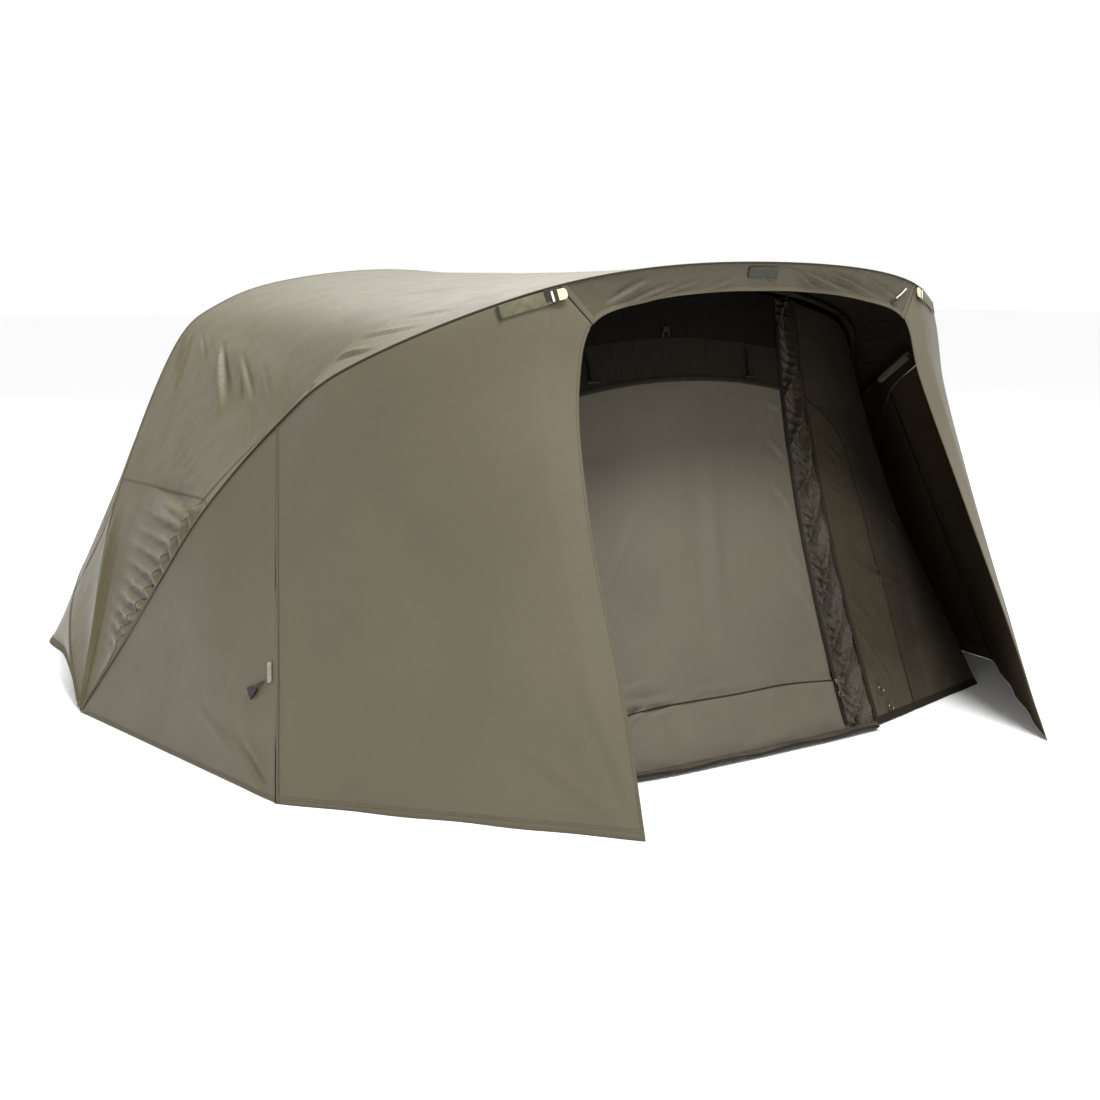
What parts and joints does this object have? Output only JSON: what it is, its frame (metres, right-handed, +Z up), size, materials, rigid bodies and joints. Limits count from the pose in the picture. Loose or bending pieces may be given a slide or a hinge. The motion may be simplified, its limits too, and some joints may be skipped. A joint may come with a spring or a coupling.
{
  "type": "fishing bivvy shelter",
  "caption": "Low domed two-person bank-side tent with hinged arched ribs, a stretched outer wrap, a deep open porch with swept-back wings and a zipped inner front.",
  "frame": {"origin": "middle of the footprint on the ground", "axes": "+Z up; -Y out of the porch; +X to the right-hand side of someone facing +Y, into the doorway"},
  "size_m": [3.2138, 3.3813, 1.449],
  "materials": {
    "wrap": "coated polyester outer wrap, light olive grey with a soft sheen",
    "porch_cloth": "coated polyester porch walls, grey olive, slightly duller than the roof",
    "inner_cloth": "matt woven inner front cloth",
    "mesh_dark": "dark fine mesh",
    "groundsheet": "heavy coated groundsheet cloth, dark",
    "rib_metal": "dark olive painted aluminium tube",
    "moulding": "black nylon moulding",
    "webbing": "olive woven webbing",
    "pin_steel": "plain steel"
  },
  "bodies": {
    "base": {"groundsheet": "groundsheet", "door_sill": "groundsheet", "hub_clevis_left": "moulding", "hub_clevis_right": "moulding", "hub_pin_left": "pin_steel", "hub_pin_right": "pin_steel", "rear_wall": "wrap", "rear_corner_left": "wrap", "rear_corner_right": "wrap"},
    "rear": {"rear_rib_leg_left": "rib_metal", "rear_rib_leg_right": "rib_metal", "rear_rib_elbow_left": "moulding", "rear_rib_elbow_right": "moulding", "rear_rib_crossbar": "rib_metal", "rear_roof": "wrap", "rear_side_left": "wrap", "rear_side_right": "wrap"},
    "back": {"back_rib_leg_left": "rib_metal", "back_rib_leg_right": "rib_metal", "back_rib_elbow_left": "moulding", "back_rib_elbow_right": "moulding", "back_rib_crossbar": "rib_metal", "roof_panel": "wrap", "side_panel_left": "wrap", "side_panel_right": "wrap"},
    "front": {"front_rib_leg_left": "rib_metal", "front_rib_leg_right": "rib_metal", "front_rib_elbow_left": "moulding", "front_rib_elbow_right": "moulding", "front_rib_crossbar": "rib_metal", "porch_roof": "wrap", "wing_left": "porch_cloth", "wing_right": "porch_cloth", "flank_left": "porch_cloth", "flank_right": "porch_cloth", "brow": "porch_cloth", "door_panel": "inner_cloth", "door_valance": "mesh_dark", "door_gusset_left": "inner_cloth", "door_gusset_right": "inner_cloth", "inner_panel_left": "inner_cloth", "inner_panel_right": "inner_cloth", "inner_side_left": "inner_cloth", "inner_side_right": "inner_cloth", "strap_tab_left": "webbing", "strap_tab_right": "webbing", "wing_toggle_left": "moulding", "wing_toggle_right": "moulding", "label_patch": "webbing", "roll_toggle_left": "moulding", "roll_toggle_right": "moulding", "door_zip_left": "moulding", "door_zip_right": "moulding", "strut_clip_left": "moulding", "strut_clip_right": "moulding", "porch_strut_left": "rib_metal", "porch_strut_right": "rib_metal"},
    "slider_left": {"zip_slider_left": "pin_steel"},
    "slider_right": {"zip_slider_right": "pin_steel"}
  },
  "joints": [
    {"name": "rear_fold", "type": "hinge", "parent": "base", "child": "rear", "pos_m": [0, 0.276, 0.04], "axis": [-1, 0, 0], "range_deg": [0, 10], "deforming": ["rear_wall", "rear_corner_left", "rear_corner_right"]},
    {"name": "back_fold", "type": "hinge", "parent": "rear", "child": "back", "pos_m": [0, 0.276, 0.04], "axis": [-1, 0, 0], "range_deg": [0, 27.5], "deforming": ["rear_roof", "rear_side_left", "rear_side_right"]},
    {"name": "front_fold", "type": "hinge", "parent": "back", "child": "front", "pos_m": [0, 0.276, 0.04], "axis": [-1, 0, 0], "range_deg": [0, 57], "deforming": ["roof_panel", "side_panel_left", "side_panel_right", "porch_roof", "wing_left", "wing_right", "flank_left", "flank_right", "brow", "door_panel", "door_valance", "door_gusset_left", "door_gusset_right", "inner_panel_left", "inner_panel_right", "inner_side_left", "inner_side_right", "door_zip_left", "door_zip_right", "label_patch", "strap_tab_left", "strap_tab_right", "wing_toggle_left", "wing_toggle_right", "roll_toggle_left", "roll_toggle_right"]},
    {"name": "zip_slide_left", "type": "slide", "parent": "front", "child": "slider_left", "axis": [-0.0106, 0.4182, 0.9083], "range_m": [0, 0.3]},
    {"name": "zip_slide_right", "type": "slide", "parent": "front", "child": "slider_right", "axis": [0.0531, 0.4279, 0.9023], "range_m": [0, 0.3]}
  ],
  "couplings": [
    {"joint": "back_fold", "follows": "front_fold", "ratio": 0.4824},
    {"joint": "rear_fold", "follows": "front_fold", "ratio": 0.1754}
  ]
}
